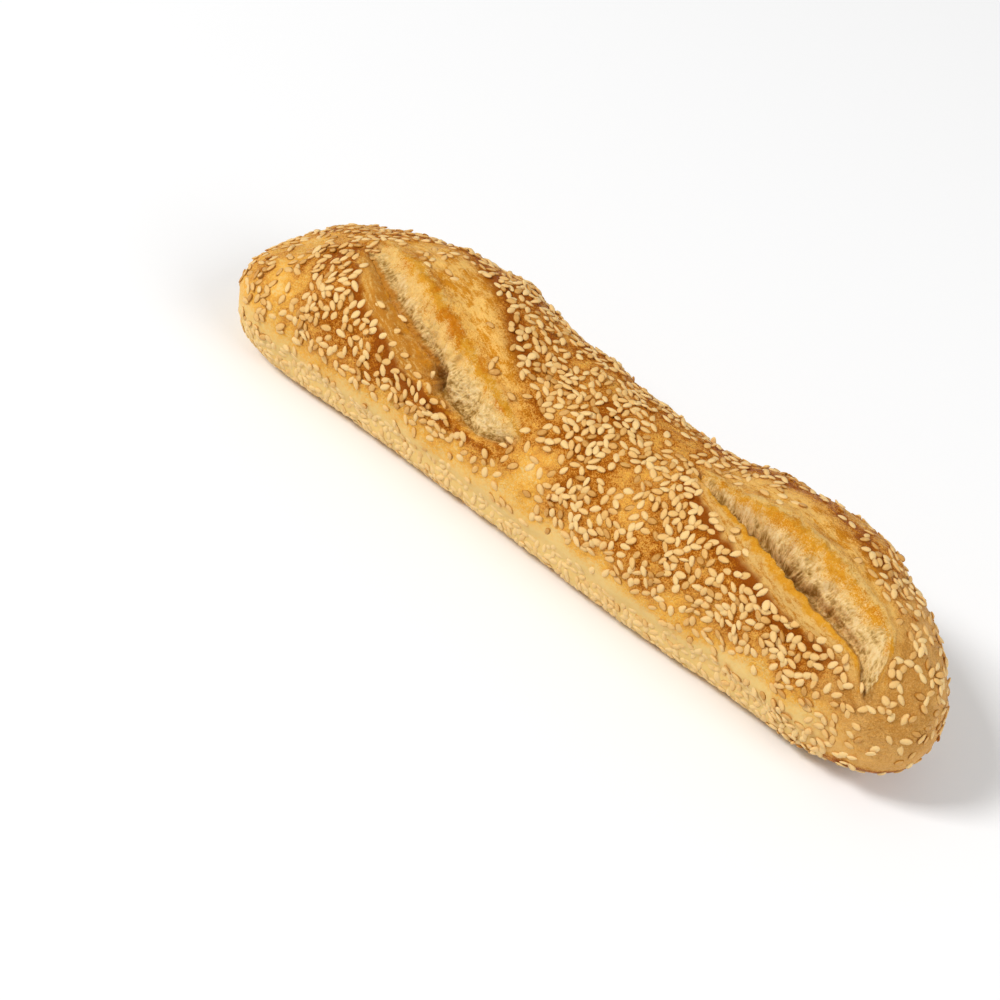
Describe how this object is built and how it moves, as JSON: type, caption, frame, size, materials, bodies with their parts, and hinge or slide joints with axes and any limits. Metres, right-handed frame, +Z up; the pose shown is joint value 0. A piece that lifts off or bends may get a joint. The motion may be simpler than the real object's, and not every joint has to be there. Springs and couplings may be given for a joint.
{
  "type": "mini sesame baguette",
  "caption": "Short crusty bread roll in baguette form, flat below, with slanting opened scores across its browned top and sesame seeds baked into the crust.",
  "frame": {"origin": "centre of the loaf's box at the level of its flat base", "axes": "+X along the loaf towards the end nearest the viewer, +Z up; the scores slant from the back of the top to the front (-Y) side"},
  "size_m": [0.243, 0.0633, 0.0519],
  "materials": {
    "crust": "baked bread crust, dry and matt, golden brown on top and pale cream on the flanks, with open pale crumb in the scores",
    "seeds": "toasted sesame seeds, ivory to light brown, with a soft sheen"
  },
  "bodies": {
    "root": {"loaf": "crust"}
  },
  "joints": []
}
